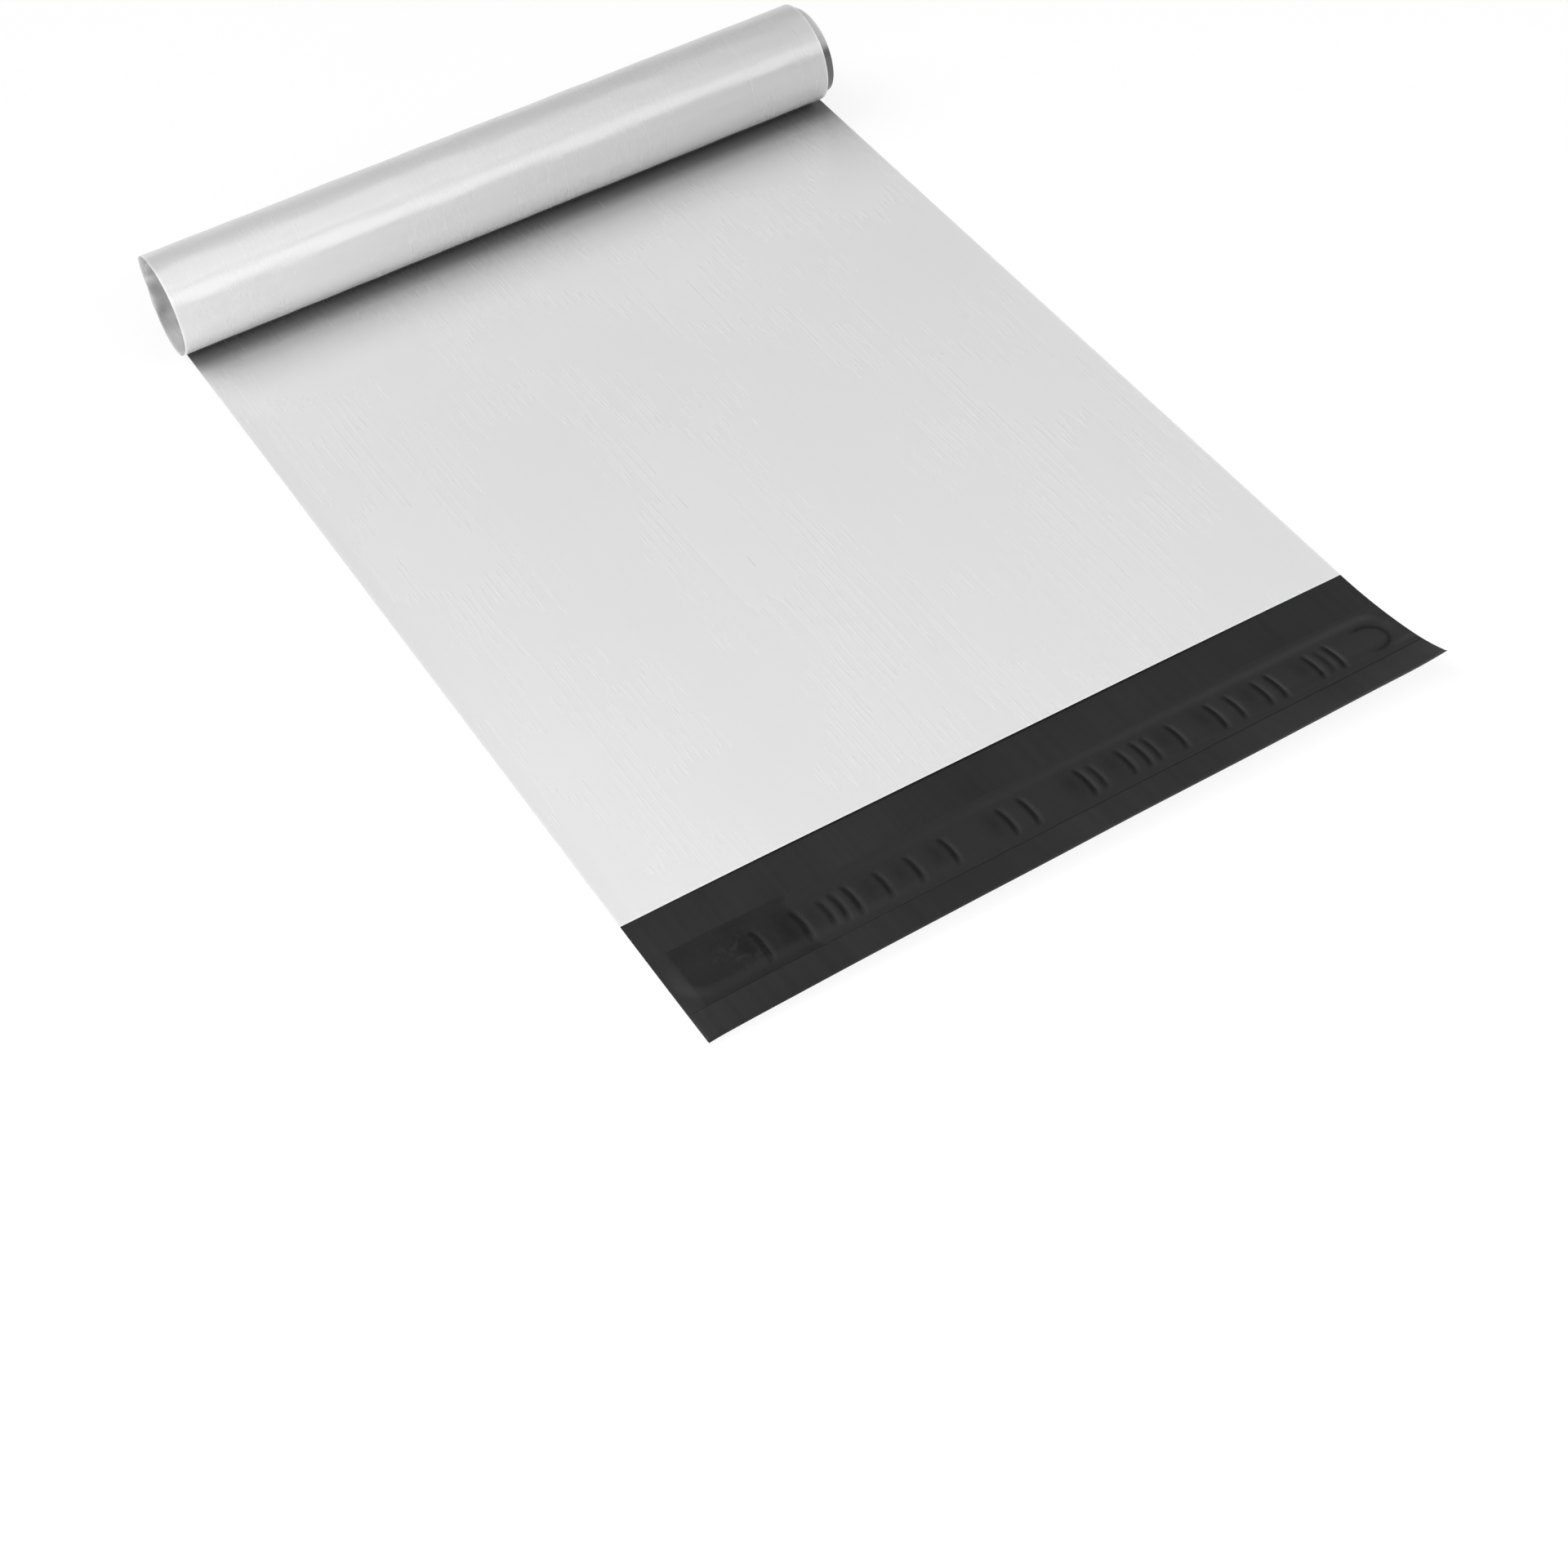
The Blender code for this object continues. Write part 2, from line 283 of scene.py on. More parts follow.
# The liner and the adhesive
LINER_SPECULAR = 0.24
LINER_PALE = 0.034
LINER_DARK = 0.001
LINER_BLUE = 1.03
LINER_ROUGHNESS = (0.32, 0.40)
STUCK_SPAN = (-1.0, 1.0)
ADHESIVE_SPECULAR = 0.5
ADHESIVE_ROUGHNESS = 0.22
ADHESIVE_COLOUR = (0.020, 0.020, 0.021)
ADHESIVE_SHADES = (0.8, 1.2)

# The camera and the image
CAMERA_PLACE = (-0.33575, -0.65786, 0.65395)
CAMERA_AZIMUTH = 27.24
CAMERA_ELEVATION = 47.08
CAMERA_ROLL = -5.06
LENS = 71.10
SENSOR_WIDTH = 36.0

# The room: how bright its ceiling looks, where its walls get darker, and how much light it gives
CEILING_LEVEL = 0.30
WALL_SPAN = (0.05, 0.40)
ROOM_LIGHT = 0.08
WHITE = (1.0, 1.0, 1.0, 1.0)

# The floor: its own grey, and the white that it mostly shows instead
FLOOR_SIZE = 24.0
FLOOR_DROP = 0.0002
FLOOR_GREY = (0.86, 0.86, 0.86, 1.0)
FLOOR_GLOW = 1.03
FLOOR_GLOW_SHARE = 0.82

# Soft lamps: name, place, the point they face, width and height, and power in watts
SOFTBOXES = (
    ("overhead", (0.00, 0.20, 2.60), (0.0, 0.1, 0.0), (2.2, 2.2), 18.5),
    ("back_left", (-1.32, 1.13, 1.99), (0.0, 0.1, 0.0), (2.0, 2.0), 44.0),
    ("front", (0.32, -0.58, 0.61), (0.32, 0.17, 0.03), (1.0, 0.44), 3.0),
    ("front_high", (0.25, -0.26, 0.84), (0.25, 0.17, 0.03), (1.0, 0.36), 1.0),
    ("low_left", (-0.50, -0.20, 0.05), (-0.10, 0.17, 0.02), (0.3, 0.06), 2.0),
)

# The shape of the bag

def smooth(share):
    """An S-curve from 0 to 1 as share goes from 0 to 1."""
    share = min(max(share, 0.0), 1.0)
    return share * share * (3.0 - 2.0 * share)


def rise(value, start, reach):
    """0 up to the start, and 1 from one reach beyond it."""
    return smooth((value - start) / reach)


def fade(value, start, reach):
    """1 up to the start, and 0 from one reach beyond it."""
    return 1.0 - rise(value, start, reach)


def close_to(value, middle, reach):
    """1 in the middle, and 0 from one reach away."""
    return smooth(1.0 - abs(value - middle) / reach)


def hump(distance, reach):
    """A soft bump: 1 in the middle, and next to nothing beyond twice its reach."""
    return math.exp(-(distance / reach) ** 2)


def bump_noise(x, y, grain):
    """Soft noise between about -1 and 1. Its grain is the size of its waves in x and y, and a seed."""
    x_size, y_size, seed = grain
    return noise.noise(Vector((x / x_size, y / y_size, seed)))


def wave_height(x, y, waves, lift=0.0):
    """Height of several noises together. A lift of 1 keeps them from going below 0."""
    return sum(height * (lift + bump_noise(x, y, grain)) for grain, height in waves)


def spiral_radius(turns):
    """Radius of the film's outer face after so many turns, counted from the floor inwards."""
    return ROLL_RADIUS - FIRST_PITCH * turns ** WINDING_POWER


def wound_length(turns):
    """Length of film in so many turns."""
    lost = FIRST_PITCH * turns ** (WINDING_POWER + 1) / (WINDING_POWER + 1)
    return math.tau * (ROLL_RADIUS * turns - lost)


def turns_in(length):
    """Turns that a length of film makes, by Newton's method."""
    turns = length / (math.tau * ROLL_RADIUS)
    for _ in range(NEWTON_STEPS):
        turns -= (wound_length(turns) - length) / (math.tau * spiral_radius(turns))
    return turns


def flap_lift(across):
    """Height of the flap's free edge over the floor."""
    share = min(max(across / BAG_WIDTH, 0.0), 1.0)
    return FLAP_LIFT_LEFT + (FLAP_LIFT_RIGHT - FLAP_LIFT_LEFT) * share ** LIFT_GROWTH


def place_on_flap(across, out, up):
    """The flap is bent upwards as an arc from the mouth, and its right corner curls a little more."""
    radius = FLAP_DEPTH ** 2 / (2 * flap_lift(across))
    angle = out / radius
    from_corner = math.hypot(BAG_WIDTH - across, FLAP_DEPTH - out)
    curl = CORNER_CURL * max(0.0, 1.0 - from_corner / CORNER_REACH) ** 2
    return Vector((across, -(radius - up) * math.sin(angle), radius - (radius - up) * math.cos(angle) + curl))


def roll_slip(turns):
    """How far the turns of the roll have slipped sideways, the innermost one's own slip apart."""
    return TELESCOPE * max(0.0, turns - SLIP_TURNS) - ROLL_SLIP * smooth(turns / SLIP_TURNS)


def place_on_roll(across, wound, up):
    """The roll is a spiral whose turns slip sideways, so they show one inside the other at its ends."""
    turns = turns_in(wound)
    angle = math.tau * turns
    radius = spiral_radius(turns) - up
    x = across + roll_slip(turns) + INNER_SLIP * rise(turns, INNER_TURNS, INNER_EASE)
    return Vector((x, FLAT_LENGTH + radius * math.sin(angle), ROLL_RADIUS - radius * math.cos(angle)))


def place(across, along, up):
    """A point of the flat bag, where it lies on the finished one."""
    if along < 0:
        return place_on_flap(across, -along, up)
    if along > FLAT_LENGTH:
        return place_on_roll(across, along - FLAT_LENGTH, up)
    return Vector((across, along, up))


def swell(across):
    """1 at the middle of the bag's width and 0 from the welds outwards."""
    from_middle = (across - BAG_WIDTH / 2) / (BAG_WIDTH / 2 - WELD_WIDTH)
    return max(0.0, 1.0 - from_middle ** SWELL_POWER)


def pocket_gap(across, along):
    """Gap between the two panels: widest at mid-width, next to nothing at the welds, small in the roll."""
    lying = WELD_GAP + (POCKET_GAP - WELD_GAP) * swell(across)
    return lying + (ROLLED_GAP - lying) * smooth(1.0 - (FLAT_LENGTH - along) / GAP_EASE)


# The frame's box gives the shift from the bag's own lengths to the model's origin
BAG_LOW = Vector((roll_slip(SLIP_TURNS), place_on_flap(0.0, FLAP_DEPTH, 0.0).y, 0.0))
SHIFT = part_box("mailer_film")[0] - BAG_LOW


# Making meshes

def grid_mesh(name, points, flat, columns):
    """A sheet through rows of points. The flat places stay on it as an attribute, for its material."""
    mesh = bpy.data.meshes.new(name)
    faces = []
    for row in range(len(points) // columns - 1):
        for column in range(columns - 1):
            a = row * columns + column
            faces.append((a + columns, a + columns + 1, a + 1, a))
    mesh.from_pydata([point + SHIFT for point in points], [], faces)
    mesh.update()
    layer = mesh.attributes.new("flat", "FLOAT_VECTOR", "POINT")
    layer.data.foreach_set("vector", [value for spot in flat for value in spot])
    return mesh


def shares(mesh, name, values):
    """One number for each point, for the material to read."""
    layer = mesh.attributes.new(name, "FLOAT", "POINT")
    layer.data.foreach_set("value", values)


def thick_piece(name, mesh, thickness, materials, node, other_side=0):
    """Give a sheet its thickness, half to each side, and make it the piece that stands for a node."""
    for material in materials:
        mesh.materials.append(material)
    piece = bpy.data.objects.new(name, mesh)
    bpy.context.scene.collection.objects.link(piece)
    shell = piece.modifiers.new("thickness", "SOLIDIFY")
    shell.thickness = thickness
    shell.offset = 0.0
    shell.material_offset = other_side
    bpy.context.view_layer.update()
    evaluated = piece.evaluated_get(bpy.context.evaluated_depsgraph_get())
    solid = bpy.data.meshes.new_from_object(evaluated)
    piece.modifiers.clear()
    piece.data = solid
    solid.name = name
    solid.shade_smooth()
    solid.set_sharp_from_angle(angle=math.radians(SHARP_ANGLE))
    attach(piece, "root")
    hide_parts(node)
    return piece


# The film

def film_columns():
    """Places across the sheet, closer together at its sides."""
    left = list(EDGE_COLUMNS)
    start, end = left[-1], BAG_WIDTH - left[-1]
    steps = round((end - start) / COLUMN_STEP)
    middle = [start + (end - start) * i / steps for i in range(1, steps)]
    return left + middle + [BAG_WIDTH - x for x in reversed(left)]


def film_rows():
    """Rows of the sheet, from the flap's free edge through the fold and back to the mouth.

    Each is its place along the bag, its share of the way from the back panel to the front one, and its place
    along the sheet.
    """
    flap_steps = round(FLAP_DEPTH / FLAP_ROW)
    lying_steps = round(FLAT_LENGTH / PANEL_ROW)
    turns = turns_in(PANEL_LENGTH - FLAT_LENGTH)
    roll_steps = round(turns * STEPS_PER_TURN)
    flap = [-FLAP_DEPTH + lip for lip in LIP_ROWS]
    flap += [-FLAP_DEPTH + FLAP_DEPTH * i / flap_steps for i in range(2, flap_steps)]
    lying = [FLAT_LENGTH * i / lying_steps for i in range(lying_steps + 1)]
    rolled = [FLAT_LENGTH + wound_length(turns * i / roll_steps) for i in range(1, roll_steps)]
    bend = (ROLLED_GAP + FILM) / 2
    rows = [(along, 0.0, along) for along in flap + lying + rolled]
    for i in range(FOLD_STEPS + 1):
        angle = math.pi * i / FOLD_STEPS
        along = PANEL_LENGTH - FILM / 2 - bend + bend * math.sin(angle)
        rows.append((along, (1 - math.cos(angle)) / 2, PANEL_LENGTH + bend * (angle - math.pi / 2)))
    past_mouth = [along for along in lying if along > MOUTH_ROWS[-1]]
    front = list(MOUTH_ROWS) + past_mouth + rolled
    rows += [(along, 1.0, 2 * PANEL_LENGTH - along) for along in reversed(front)]
    return rows


def panel_relief(across, along):
    """The front panel is not quite flat where it lies over the pocket."""
    return swell(across) * wave_height(across, along, PANEL_WAVES)


def left_crumple(across, wound):
    """Where the innermost turn is dented at the roll's left end, from 0 to about 2."""
    inner = rise(wound, wound_length(CRUMPLE_TURN), CRUMPLE_EASE)
    creases = CRUMPLE_SWING * bump_noise(across, wound, CRUMPLE_GRAIN)
    return inner * smooth(1.0 - across / CRUMPLE_REACH) * max(0.0, 1 + creases)


def roll_relief(across, wound):
    """Long shallow flats along the roll, short ones, dimples, and the crumple at its left end."""
    return wave_height(across, wound, ROLL_WAVES, 1.0) + CRUMPLE_HEIGHT * left_crumple(across, wound)


def flap_lip(across, from_edge):
    """How much the flap's free edge curls up."""
    share = max(0.0, 1.0 - from_edge / LIP_DEPTH)
    return LIP_HEIGHT * share ** 2 * (1.0 - LIP_SWING + LIP_SWING * bump_noise(across, 0.0, LIP_GRAIN))


def film_point(across, along, side):
    """Where the middle of the film is, in the back panel with side 0 or in the front one with side 1."""
    up = FILM / 2 + side * (pocket_gap(across, along) + FILM)
    rolled = rise(along, FLAT_LENGTH, ROLL_EASE)
    up += side * (1 - rolled) * panel_relief(across, along)
    if along > FLAT_LENGTH:
        up += rolled * roll_relief(across, along - FLAT_LENGTH)
    if along < 0:
        up += flap_lip(across, FLAP_DEPTH + along)
    return place(across, along, up)


def nip_painted_shadow(along, side):
    """Painted shadow: the film is made darkest in the nip between the roll and the panel."""
    wound = along - FLAT_LENGTH
    if wound < 0 and side > 0.5:
        near = fade(-wound, NIP_CORE, NIP_REACH - NIP_CORE)
        tail = fade(-wound, NIP_CORE, NIP_END - NIP_CORE)
        line = fade(-wound, NIP_LINE, NIP_LINE_EASE)
        return (1.0 - NIP_SHADE * near) * (1.0 - NIP_TAIL * tail) * (1.0 - NIP_LINE_SHADE * line)
    if wound >= 0 and side < 0.5:
        return 1.0 - NIP_SHADE * fade(wound, NIP_CORE, NIP_WOUND - NIP_CORE)
    return 1.0


def wound_painted_shade(across, along):
    """Painted shade: the wound film is made darker, and more so towards its right end."""
    shade = WOUND_SHADE + (WOUND_SHADE_RIGHT - WOUND_SHADE) * smooth(across / BAG_WIDTH)
    return 1.0 - shade * rise(along, FLAT_LENGTH, WOUND_EASE)


def end_painted_shade(across, along):
    """Painted shade on the innermost turn at both ends: in the gap at the right, over the black layer at its
    cut edge, and in the dents at the left.
    """
    inner = smooth((along - FLAT_LENGTH - wound_length(CUT_TURN)) / CUT_EASE)
    at_end = smooth(CUT_STEEPNESS - (BAG_WIDTH - across) / CUT_DEPTH * CUT_STEEPNESS)
    cut = 1.0 - CUT_SHADE * inner * at_end
    return cut * (1.0 - CRUMPLE_SHADE * left_crumple(across, along - FLAT_LENGTH))


def make_film(materials):
    """One folded sheet: the flap, the back panel, the bottom fold in the roll and the front panel."""
    columns = film_columns()
    points, flat, edge_highlight, painted_shade = [], [], [], []
    for along, side, way in film_rows():
        row_painted_shade = nip_painted_shadow(along, side)
        rim_highlight = ROLL_RIM_HIGHLIGHT if along > FLAT_LENGTH else FLAT_RIM_HIGHLIGHT
        for across in columns:
            points.append(film_point(across, along, side))
            flat.append((across, way, 0.0))
            from_side = min(across, BAG_WIDTH - across)
            # Painted highlight along the side edges, stronger on the roll, and along the front panel's mouth
            mouth_highlight = side * max(0.0, 1.0 - along / MOUTH_WIDTH)
            edge_highlight.append(max(mouth_highlight, rim_highlight * max(0.0, 1.0 - from_side / RIM_WIDTH)))
            # Painted shade: the nip under the roll, the wound film and the roll's ends
            painted_shade.append(row_painted_shade * wound_painted_shade(across, along) * end_painted_shade(across, along))
    mesh = grid_mesh("mailer_film", points, flat, len(columns))
    shares(mesh, "edge_highlight", edge_highlight)
    shares(mesh, "painted_shade", painted_shade)
    return thick_piece("folded_film", mesh, FILM, materials, "mailer_film", other_side=1)


# The adhesive and its liner

def past_bead(across):
    """How far a place across is past the straight part of the adhesive, at either end."""
    half = BEAD_WIDTH / 2
    left, right = BEAD_MARGIN + half, BAG_WIDTH - BEAD_MARGIN - half
    return max(0.0, left - across, across - right)


def bead_outline(across, out):
    """How far inside the adhesive's round-ended outline a point is, in metres."""
    return BEAD_WIDTH / 2 - math.hypot(past_bead(across), out - BEAD_CENTRE)


def make_adhesive(material):
    """A low bead with round ends and a slightly uneven surface."""
    half = BEAD_WIDTH / 2
    points, flat = [], []
    for row in range(BEAD_ROWS + 1):
        t = 2.0 * row / BEAD_ROWS - 1.0
        for column in range(BEAD_COLUMNS + 1):
            across = BEAD_MARGIN + (BAG_WIDTH - 2 * BEAD_MARGIN) * column / BEAD_COLUMNS
            width = math.sqrt(max(BEAD_END_SHARE * half ** 2, half ** 2 - past_bead(across) ** 2))
            out = BEAD_CENTRE + t * width
            height = 0.5 * BEAD_THICKNESS * (1.0 - BEAD_FALL * t ** 4)
            height *= 1.0 + BEAD_SWING * bump_noise(across, out, BEAD_GRAIN)
            points.append(place(across, -out, FILM + LAY_GAP + height))
            flat.append((across, -out, 0.0))
    mesh = grid_mesh("adhesive_strip", points, flat, BEAD_COLUMNS + 1)
    return thick_piece("adhesive_bead", mesh, BEAD_THICKNESS * BEAD_SHELL, [material], "adhesive_strip")


def painted_flank_mark(side, flank):
    """How strong the painted shade or painted highlight of one flank of a pucker is, so far to the side of
    its crest.
    """
    middle, width, strength = flank
    return strength * hump(side - middle, width)


def pucker_marks(across, out):
    """Height of the puckers at a point of the liner, and their painted shade there: below 0 is painted
    highlight.
    """
    height = painted_pucker_shade = 0.0
    before = -1.0
    for share, size in PUCKERS:
        alone = share - before > LONE_SHARE
        before = share
        from_middle = across - share * BAG_WIDTH + PUCKER_SHIFT
        t = (out - PUCKER_OUT) / (PUCKER_LENGTH * (1.0 - PUCKER_GROWTH + PUCKER_GROWTH * size))
        if abs(from_middle) > PUCKER_FAR or abs(t) > PUCKER_ENDS:
            continue
        strong = size * max(0.0, 1.0 - t ** 4)
        side = from_middle - PUCKER_SLANT * t + PUCKER_BOW * (t * t - PUCKER_BOW_SHIFT)
        flank = math.exp(side / PUCKER_GENTLE) if side < 0 else hump(side, PUCKER_STEEP)
        height = max(height, strong * flank)
        painted_pucker_shade += strong * (painted_flank_mark(side, PAINTED_SHADE_FLANK) - painted_flank_mark(side, PAINTED_HIGHLIGHT_FLANK))
        if alone:
            side_shade = hump(from_middle + SIDE_SHADE_REACH, SIDE_SHADE_REACH * SIDE_SHADE_WIDTH)
            painted_pucker_shade += SIDE_SHADE_STRENGTH * size * side_shade * hump(t + SIDE_SHADE_RISE, SIDE_SHADE_LENGTH)
    return PUCKER_HEIGHT * height, painted_pucker_shade


def liner_relief(across, out, pucker):
    """Height of the liner over the flap."""
    over_bead = smooth(1.0 + bead_outline(across, out) / LINER_RISE)
    height = LINER_REST + (BEAD_THICKNESS + 2 * LAY_GAP - LINER_REST) * over_bead + pucker * over_bead
    upper = hump(out - BEAD_CENTRE + BEAD_WIDTH / 2 + RIDGE_OUTSIDE, RIDGE_WIDTH)
    lower = hump(out - LINER_INSET - LINER_WIDTH + FAR_RIDGE_INSET, FAR_RIDGE_WIDTH)
    height += rise(across, RIDGE_START, RIDGE_EASE) * (RIDGE_HEIGHT * upper + FAR_RIDGE_HEIGHT * lower)
    creased = close_to(across, CREASE_PLACE, CREASE_REACH) * over_bead
    height += CREASE_HEIGHT * creased * (1 + bump_noise(across, out, CREASE_GRAIN))
    height += LINER_WAVE_HEIGHT * over_bead * (1 + bump_noise(across, out, LINER_WAVE_GRAIN))
    return height


def stuck_patch(across, out):
    """Where the liner is pressed onto the adhesive at the left, with a few pale specks in it."""
    ragged = RAGGED_DEPTH * bump_noise(out, 0.0, RAGGED_GRAIN)
    patch = rise(across, PATCH_START, PATCH_EASE) * rise(PATCH_END + ragged, across, PATCH_EASE)
    specks = rise(bump_noise(across, out, SPECK_GRAIN), SPECK_LEVEL, SPECK_EASE)
    specks *= close_to(across, CREASE_PLACE, SPECK_REACH) * close_to(out, BEAD_CENTRE, SPECK_DEPTH)
    return patch * (PATCH_SHADE + PATCH_SWING * bump_noise(across, out, PATCH_GRAIN)) - SPECK_PALE * specks


def bead_end_painted_shade(across, out):
    """Painted shade: the dark line round the adhesive's right end."""
    inside = bead_outline(across + END_LINE_SHIFT, out - PUCKER_OUT + BEAD_CENTRE)
    line = END_LINE_SHADE * hump(inside + END_LINE_OUTSIDE, END_LINE_WIDTH)
    return line * rise(across, END_LINE_START, END_LINE_EASE)


def liner_edge(across, seed):
    """How far an edge of the liner wanders from its line."""
    return wave_height(across, 0.0, [((size, 1.0, seed + more), height) for size, more, height in EDGE_WAVES])


def make_liner(material):
    """A thin band of film over the adhesive."""
    points, flat, stuck_and_painted_shade = [], [], []
    for row in range(LINER_ROWS + 1):
        share = row / LINER_ROWS
        for column in range(LINER_COLUMNS + 1):
            across = LINER_MARGIN + (BAG_WIDTH - 2 * LINER_MARGIN) * column / LINER_COLUMNS
            near = LINER_INSET + liner_edge(across, NEAR_EDGE_SEED)
            far = LINER_INSET + LINER_WIDTH + liner_edge(across, FAR_EDGE_SEED)
            out = near + (far - near) * share
            pucker, painted_pucker_shade = pucker_marks(across, out)
            points.append(place(across, -out, FILM + LINER_FILM / 2 + liner_relief(across, out, pucker)))
            flat.append((across, -out, 0.0))
            # The liner's darker wet-out where it sticks, with the puckers' painted shade and highlights and
            # the painted shade line round the adhesive's end
            stuck_and_painted_shade.append(stuck_patch(across, out) + painted_pucker_shade + bead_end_painted_shade(across, out))
    mesh = grid_mesh("release_liner", points, flat, LINER_COLUMNS + 1)
    shares(mesh, "stuck_and_painted_shade", stuck_and_painted_shade)
    return thick_piece("liner_film", mesh, LINER_FILM, [material], "release_liner")


# Materials

def shader_node(tree, kind, inputs=(), **settings):
    """A shader node. An input that is given as a socket is linked, and any other is set."""
    made = tree.nodes.new("ShaderNode" + kind)
    for name, value in settings.items():
        setattr(made, name, value)
    for socket, value in dict(inputs).items():
        if isinstance(value, bpy.types.NodeSocket):
            tree.links.new(value, made.inputs[socket])
        else:
            made.inputs[socket].default_value = value
    return made


def calculate(tree, operation, a, b):
    """The result of a sum with two numbers or sockets."""
    return shader_node(tree, "Math", {0: a, 1: b}, operation=operation).outputs[0]


def map_range(tree, value, span, limits):
    """A value, with its span stretched to new limits."""
    inputs = {"Value": value, "From Min": span[0], "From Max": span[1],
              "To Min": limits[0], "To Max": limits[1]}
    return shader_node(tree, "MapRange", inputs).outputs[0]


def point_share(tree, name):
    """One of the numbers that a mesh keeps for each point."""
    return shader_node(tree, "Attribute", attribute_name=name).outputs["Fac"]


def soft_noise(tree, vector, stretch, detail):
    """Noise whose cells are so many to the metre across, along and up."""
    scaled = shader_node(tree, "Mapping", {"Vector": vector, "Scale": stretch}).outputs[0]
    return shader_node(tree, "TexNoise", {"Vector": scaled, "Scale": 1.0, "Detail": detail}).outputs[0]


def scaled_colour(tree, colour, share):
    """A colour, made darker or paler by a share."""
    return shader_node(tree, "VectorMath", {0: colour, "Scale": share}, operation="SCALE").outputs[0]


def link_bump(tree, shader, height, size):
    """Let a height show as fine relief, with the strength and the height of its size."""
    bump = shader_node(tree, "Bump", {"Height": height, "Strength": size[0], "Distance": size[1]}).outputs[0]
    tree.links.new(bump, shader.inputs["Normal"])


def plastic(name, specular, ior=1.5):
    """A new material, and the nodes that its surface is made from."""
    material = bpy.data.materials.new(name)
    material.use_nodes = True
    tree = material.node_tree
    shader = tree.nodes["Principled BSDF"]
    shader.inputs["Specular IOR Level"].default_value = specular
    shader.inputs["IOR"].default_value = ior
    flat = shader_node(tree, "Attribute", attribute_name="flat").outputs["Vector"]
    return material, tree, shader, flat


def film_material(name, colour, variation, roughness, specular, ior):
    """Plastic film: cloudy by a hair, with a fine grain and faint lines along the sheet."""
    material, tree, shader, flat = plastic(name, specular, ior)
    cloud = soft_noise(tree, flat, CLOUDS, COARSE_DETAIL)
    grain = soft_noise(tree, flat, FILM_GRAIN, FINE_DETAIL)
    lines = soft_noise(tree, flat, SHEET_LINES, FINE_DETAIL)
    uneven = calculate(tree, "ADD", calculate(tree, "MULTIPLY", cloud, CLOUD_SHARE),
                       calculate(tree, "MULTIPLY", lines, LINE_SHARE))
    tint = map_range(tree, uneven, NOISE_SPAN, (1.0 - variation, 1.0 + variation))
    # Painted highlight along the film's side edges and its mouth
    edge_highlight = point_share(tree, "edge_highlight")
    tint = calculate(tree, "ADD", tint, calculate(tree, "MULTIPLY", edge_highlight, RIM_HIGHLIGHT))
    # Painted shade from the mesh: the wound film, the nip under the roll and the roll's ends
    tint = calculate(tree, "MULTIPLY", tint, point_share(tree, "painted_shade"))
    tree.links.new(scaled_colour(tree, colour, tint), shader.inputs["Base Color"])
    rough = map_range(tree, uneven, NOISE_SPAN, (roughness - ROUGHNESS_SWING, roughness + ROUGHNESS_SWING))
    tree.links.new(rough, shader.inputs["Roughness"])
    relief = calculate(tree, "ADD", grain, calculate(tree, "MULTIPLY", lines, LINE_RELIEF))
    link_bump(tree, shader, relief, FILM_BUMP)
    return material


def liner_material():
    """Thin translucent film: milky where air lies under it and darker where it sticks to the adhesive, with
    painted shade and highlights on its puckers and a painted shade line round the adhesive's end.
    """
    material, tree, shader, flat = plastic("liner_plastic", LINER_SPECULAR)
    liner_grey = map_range(tree, point_share(tree, "stuck_and_painted_shade"), STUCK_SPAN, (LINER_PALE, LINER_DARK))
    blue = calculate(tree, "MULTIPLY", liner_grey, LINER_BLUE)
    shade = shader_node(tree, "CombineColor", {0: liner_grey, 1: liner_grey, 2: blue})
    tree.links.new(shade.outputs[0], shader.inputs["Base Color"])
    grain = soft_noise(tree, flat, LINER_GRAIN, FINE_DETAIL)
    tree.links.new(map_range(tree, grain, NOISE_SPAN, LINER_ROUGHNESS), shader.inputs["Roughness"])
    link_bump(tree, shader, grain, LINER_BUMP)
    return material


def adhesive_material():
    """Dark, smooth and slightly wavy."""
    material, tree, shader, flat = plastic("adhesive_surface", ADHESIVE_SPECULAR)
    shader.inputs["Roughness"].default_value = ADHESIVE_ROUGHNESS
    waves = soft_noise(tree, flat, ADHESIVE_WAVES, COARSE_DETAIL)
    shade = map_range(tree, waves, NOISE_SPAN, ADHESIVE_SHADES)
    tree.links.new(scaled_colour(tree, ADHESIVE_COLOUR, shade), shader.inputs["Base Color"])
    link_bump(tree, shader, waves, ADHESIVE_BUMP)
    return material


# The studio

def seen_directly(tree):
    """1 for what the camera sees, in a mirror or through glass too, and 0 for the light on other surfaces."""
    path = shader_node(tree, "LightPath")
    mirrored = calculate(tree, "MAXIMUM", path.outputs["Is Camera Ray"], path.outputs["Is Glossy Ray"])
    return calculate(tree, "MAXIMUM", mirrored, path.outputs["Is Transmission Ray"])


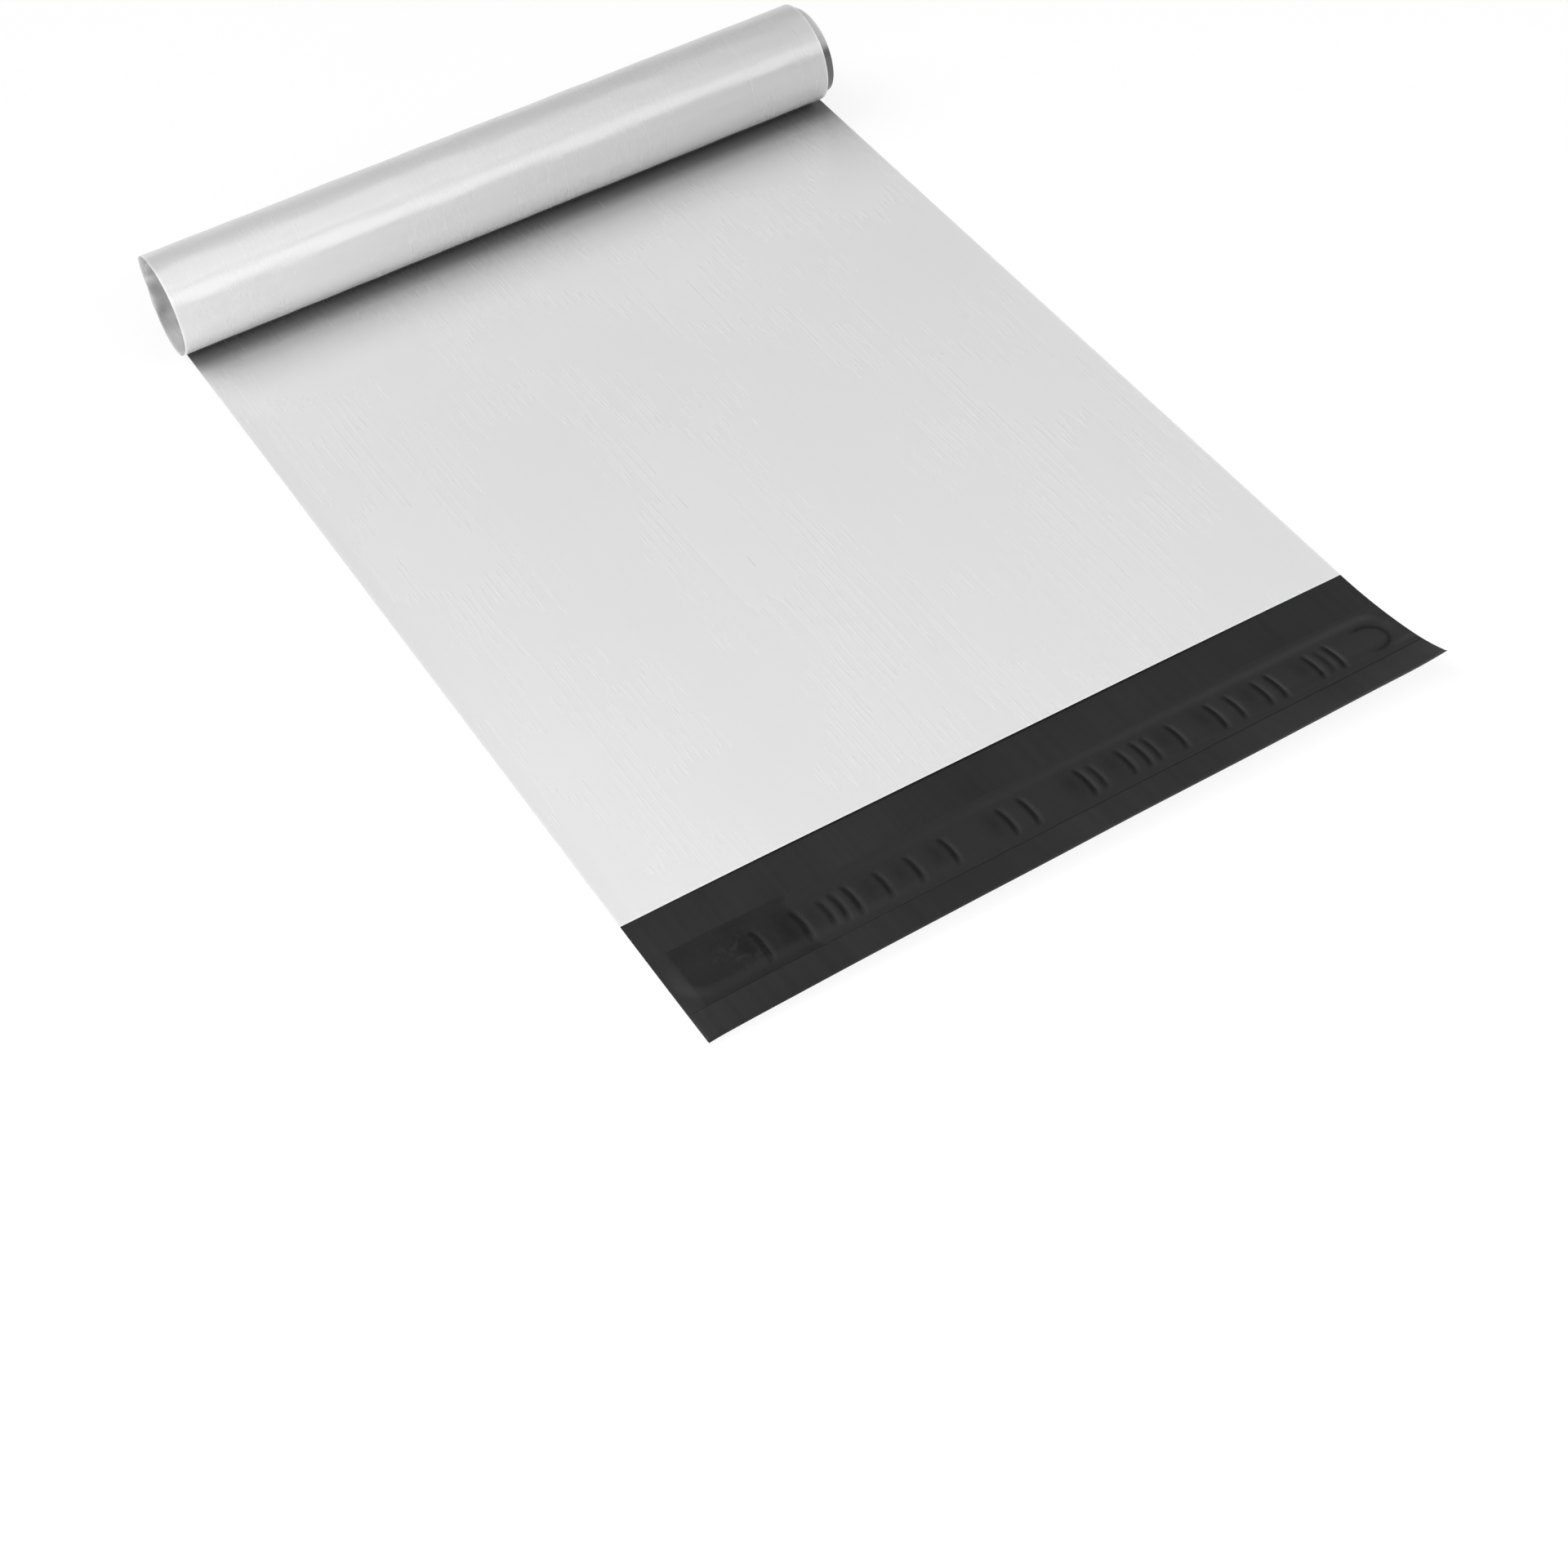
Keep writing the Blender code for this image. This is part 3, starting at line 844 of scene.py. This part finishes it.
def make_floor():
    """A pale floor that looks white and still keeps a little of the bag's shadow."""
    bpy.ops.mesh.primitive_plane_add(size=FLOOR_SIZE, location=(0.0, 0.0, -FLOOR_DROP))
    floor = bpy.context.object
    floor.name = "floor"
    material = bpy.data.materials.new("floor_white")
    material.use_nodes = True
    tree = material.node_tree
    tree.nodes.clear()
    diffuse = shader_node(tree, "BsdfDiffuse", {"Color": FLOOR_GREY})
    glow = shader_node(tree, "Emission", {"Color": WHITE, "Strength": FLOOR_GLOW})
    share = calculate(tree, "MULTIPLY", seen_directly(tree), FLOOR_GLOW_SHARE)
    mixed = shader_node(tree, "MixShader", {0: share, 1: diffuse.outputs[0], 2: glow.outputs[0]})
    shader_node(tree, "OutputMaterial", {"Surface": mixed.outputs[0]})
    floor.data.materials.append(material)


def make_world():
    """A room that gives a little even light. Where it is seen, its white walls get darker upwards."""
    world = bpy.data.worlds.new("studio")
    bpy.context.scene.world = world
    world.use_nodes = True
    tree = world.node_tree
    background = tree.nodes["Background"]
    background.inputs["Color"].default_value = WHITE
    ray = shader_node(tree, "TexCoord").outputs["Generated"]
    height = shader_node(tree, "SeparateXYZ", {0: ray}).outputs["Z"]
    walls = map_range(tree, height, WALL_SPAN, (1.0, CEILING_LEVEL))
    seen = seen_directly(tree)
    unseen = calculate(tree, "SUBTRACT", 1.0, seen)
    level = calculate(tree, "ADD", calculate(tree, "MULTIPLY", seen, walls),
                      calculate(tree, "MULTIPLY", unseen, ROOM_LIGHT))
    tree.links.new(level, background.inputs["Strength"])


def make_softbox(name, spot, target, size, power):
    """A rectangular soft light."""
    light = bpy.data.lights.new(name, "AREA")
    light.shape = "RECTANGLE"
    light.size, light.size_y = size
    light.energy = power
    lamp = bpy.data.objects.new(name, light)
    bpy.context.scene.collection.objects.link(lamp)
    lamp.location = spot
    lamp.rotation_euler = (Vector(target) - Vector(spot)).to_track_quat("-Z", "Y").to_euler()
    lamp.visible_camera = False


def make_camera():
    """The photograph's view, with the slight tilt of its horizon."""
    azimuth, elevation, tilt = (math.radians(a) for a in (CAMERA_AZIMUTH, CAMERA_ELEVATION, CAMERA_ROLL))
    ahead = Vector((math.sin(azimuth) * math.cos(elevation), math.cos(azimuth) * math.cos(elevation),
                    -math.sin(elevation)))
    right = ahead.cross(Vector((0.0, 0.0, 1.0))).normalized()
    above = right.cross(ahead)
    turned_right = right * math.cos(tilt) + above * math.sin(tilt)
    turned_above = above * math.cos(tilt) - right * math.sin(tilt)
    data = bpy.data.cameras.new("camera")
    data.lens = LENS
    data.sensor_width = SENSOR_WIDTH
    camera = bpy.data.objects.new("camera", data)
    bpy.context.scene.collection.objects.link(camera)
    turn = Matrix((turned_right, turned_above, -ahead)).transposed().to_4x4()
    camera.matrix_world = Matrix.Translation(CAMERA_PLACE) @ turn
    bpy.context.scene.camera = camera


film_outside = film_material("film_outside", colour=(0.73, 0.73, 0.733), variation=0.008, roughness=0.27,
                             specular=1.0, ior=1.7)
film_inside = film_material("film_inside", colour=(0.0185, 0.0185, 0.0188), variation=0.22, roughness=0.34,
                            specular=0.20, ior=1.5)
make_film([film_outside, film_inside])
make_adhesive(adhesive_material())
make_liner(liner_material())
make_floor()
make_world()
for softbox in SOFTBOXES:
    make_softbox(*softbox)
make_camera()
bpy.context.scene.view_settings.view_transform = "Standard"
